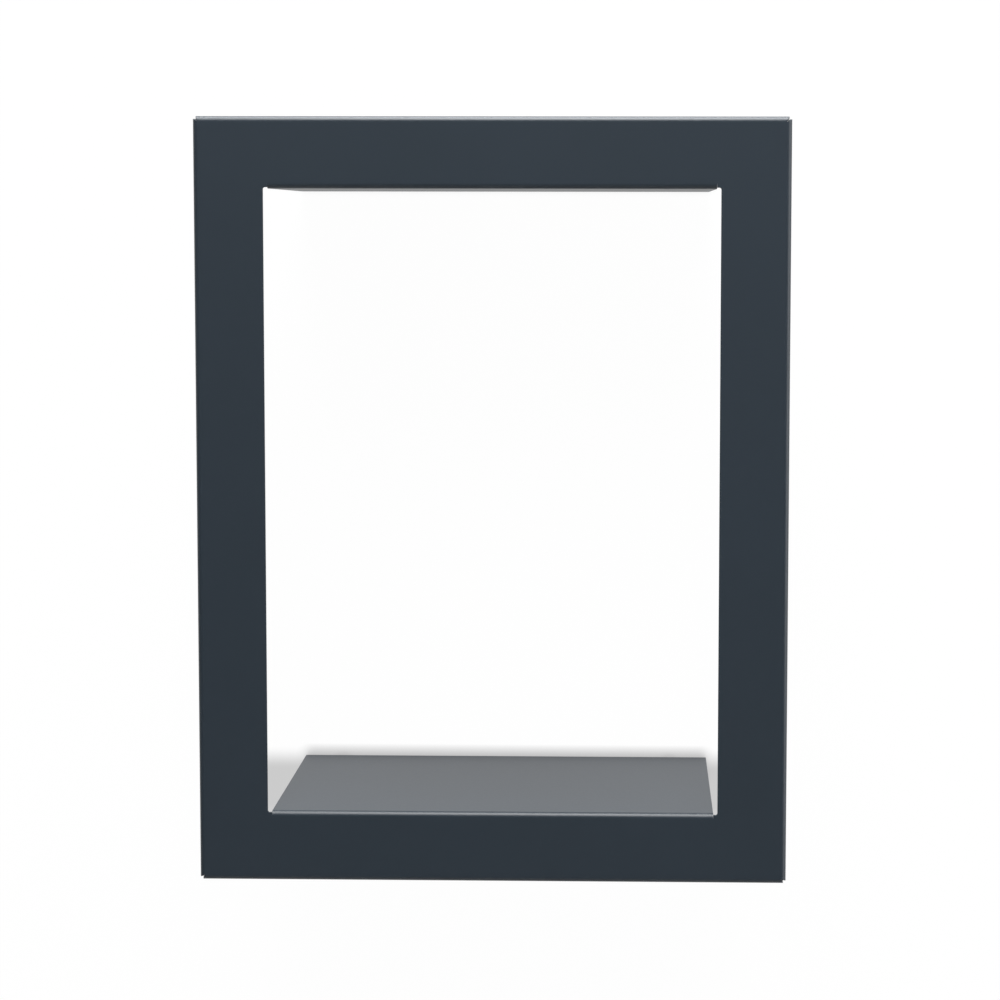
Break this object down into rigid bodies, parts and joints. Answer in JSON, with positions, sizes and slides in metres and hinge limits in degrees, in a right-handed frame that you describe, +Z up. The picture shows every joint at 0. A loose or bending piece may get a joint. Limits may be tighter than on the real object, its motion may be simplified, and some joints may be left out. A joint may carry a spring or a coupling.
{
  "type": "wall shelf",
  "caption": "Wall-hung open frame shelf folded from steel sheet: a tall rectangular border with a shelf bent back to the wall, hung by keyholes on plugged wall screws.",
  "frame": {"origin": "middle of the four keyhole entries, on the wall plane", "axes": "+Z up, +Y into the wall, so the front faces -Y, and +X to the right as seen from the front"},
  "size_m": [0.31, 0.1885, 0.402],
  "materials": {
    "powder_coat": "satin anthracite powder coat on steel sheet",
    "zinc_plate": "bright zinc-plated steel",
    "nylon": "grey moulded nylon"
  },
  "bodies": {
    "root": {"folded_body": "powder_coat", "screw_top_left": "zinc_plate", "screw_top_right": "zinc_plate", "screw_bottom_left": "zinc_plate", "screw_bottom_right": "zinc_plate", "plug_top_left": "nylon", "plug_top_right": "nylon", "plug_bottom_left": "nylon", "plug_bottom_right": "nylon"}
  },
  "joints": []
}
